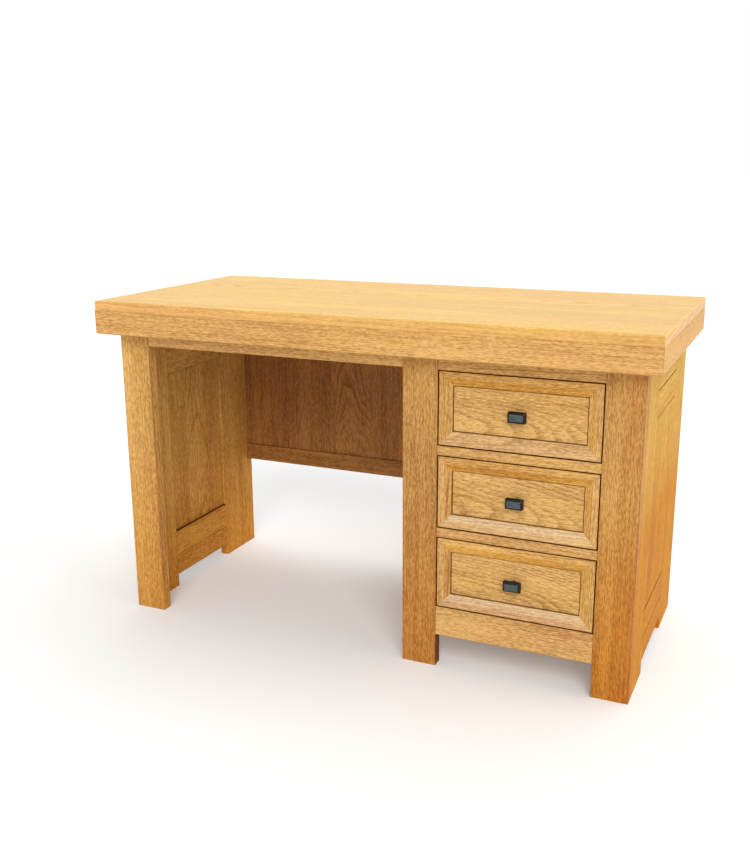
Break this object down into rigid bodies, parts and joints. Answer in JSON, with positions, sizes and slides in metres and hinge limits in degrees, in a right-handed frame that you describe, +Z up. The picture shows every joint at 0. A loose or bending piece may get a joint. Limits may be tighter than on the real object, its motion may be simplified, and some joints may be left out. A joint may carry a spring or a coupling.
{
  "type": "desk",
  "caption": "Solid oak pedestal desk: a thick overhanging top, a stack of framed drawers with dark knobs on the right, and an open kneehole with a back panel on the left.",
  "frame": {"origin": "on the floor, below the middle of the top", "axes": "+X to the right as the sitter faces the desk, +Y to the back, +Z up; the drawers open towards -Y"},
  "size_m": [1.3, 0.6, 0.78],
  "materials": {
    "oak_top": "satin lacquer",
    "oak": "satin lacquer",
    "oak_front": "satin lacquer",
    "pale_oak": "bare, sanded",
    "blackened_metal": "satin black",
    "steel": "zinc plated"
  },
  "bodies": {
    "carcass": {"drawer_divider_lower": "oak", "drawer_divider_upper": "oak", "drawer_guides": "pale_oak", "drawer_runners": "pale_oak", "front_post_inner": "oak", "front_post_left": "oak", "front_post_right": "oak", "gable_left_bottom_rail": "oak", "gable_left_front_stile": "oak", "gable_left_lower_rail": "oak", "gable_left_panel": "oak", "gable_left_rear_stile": "oak", "gable_left_top_rail": "oak", "gable_left_upper_rail": "oak", "gable_right_bottom_rail": "oak", "gable_right_front_stile": "oak", "gable_right_lower_rail": "oak", "gable_right_panel": "oak", "gable_right_rear_stile": "oak", "gable_right_top_rail": "oak", "gable_right_upper_rail": "oak", "glue_blocks": "pale_oak", "kneehole_apron": "oak", "kneehole_back_panel": "oak", "kneehole_back_rail": "oak", "partition_panel": "oak", "partition_rear_leg": "oak", "pedestal_back_panel": "oak", "pedestal_bottom_rail": "oak", "pedestal_top_rail": "oak", "top_batten": "oak_top", "top_board": "oak_top", "top_strip_back": "oak_top", "top_strip_front": "oak_top", "top_strip_left": "oak_top", "top_strip_right": "oak_top"},
    "drawer_top": {"drawer_top_back": "pale_oak", "drawer_top_bottom": "pale_oak", "drawer_top_front": "oak_front", "drawer_top_knob": "blackened_metal", "drawer_top_knob_screw": "steel", "drawer_top_moulding": "oak_front", "drawer_top_side_left": "pale_oak", "drawer_top_side_right": "pale_oak"},
    "drawer_middle": {"drawer_middle_back": "pale_oak", "drawer_middle_bottom": "pale_oak", "drawer_middle_front": "oak_front", "drawer_middle_knob": "blackened_metal", "drawer_middle_knob_screw": "steel", "drawer_middle_moulding": "oak_front", "drawer_middle_side_left": "pale_oak", "drawer_middle_side_right": "pale_oak"},
    "drawer_bottom": {"drawer_bottom_back": "pale_oak", "drawer_bottom_bottom": "pale_oak", "drawer_bottom_front": "oak_front", "drawer_bottom_knob": "blackened_metal", "drawer_bottom_knob_screw": "steel", "drawer_bottom_moulding": "oak_front", "drawer_bottom_side_left": "pale_oak", "drawer_bottom_side_right": "pale_oak"}
  },
  "joints": [
    {"name": "drawer_top_slide", "type": "slide", "parent": "carcass", "child": "drawer_top", "axis": [0, -1, 0], "range_m": [0, 0.33]},
    {"name": "drawer_middle_slide", "type": "slide", "parent": "carcass", "child": "drawer_middle", "axis": [0, -1, 0], "range_m": [0, 0.33]},
    {"name": "drawer_bottom_slide", "type": "slide", "parent": "carcass", "child": "drawer_bottom", "axis": [0, -1, 0], "range_m": [0, 0.33]}
  ]
}
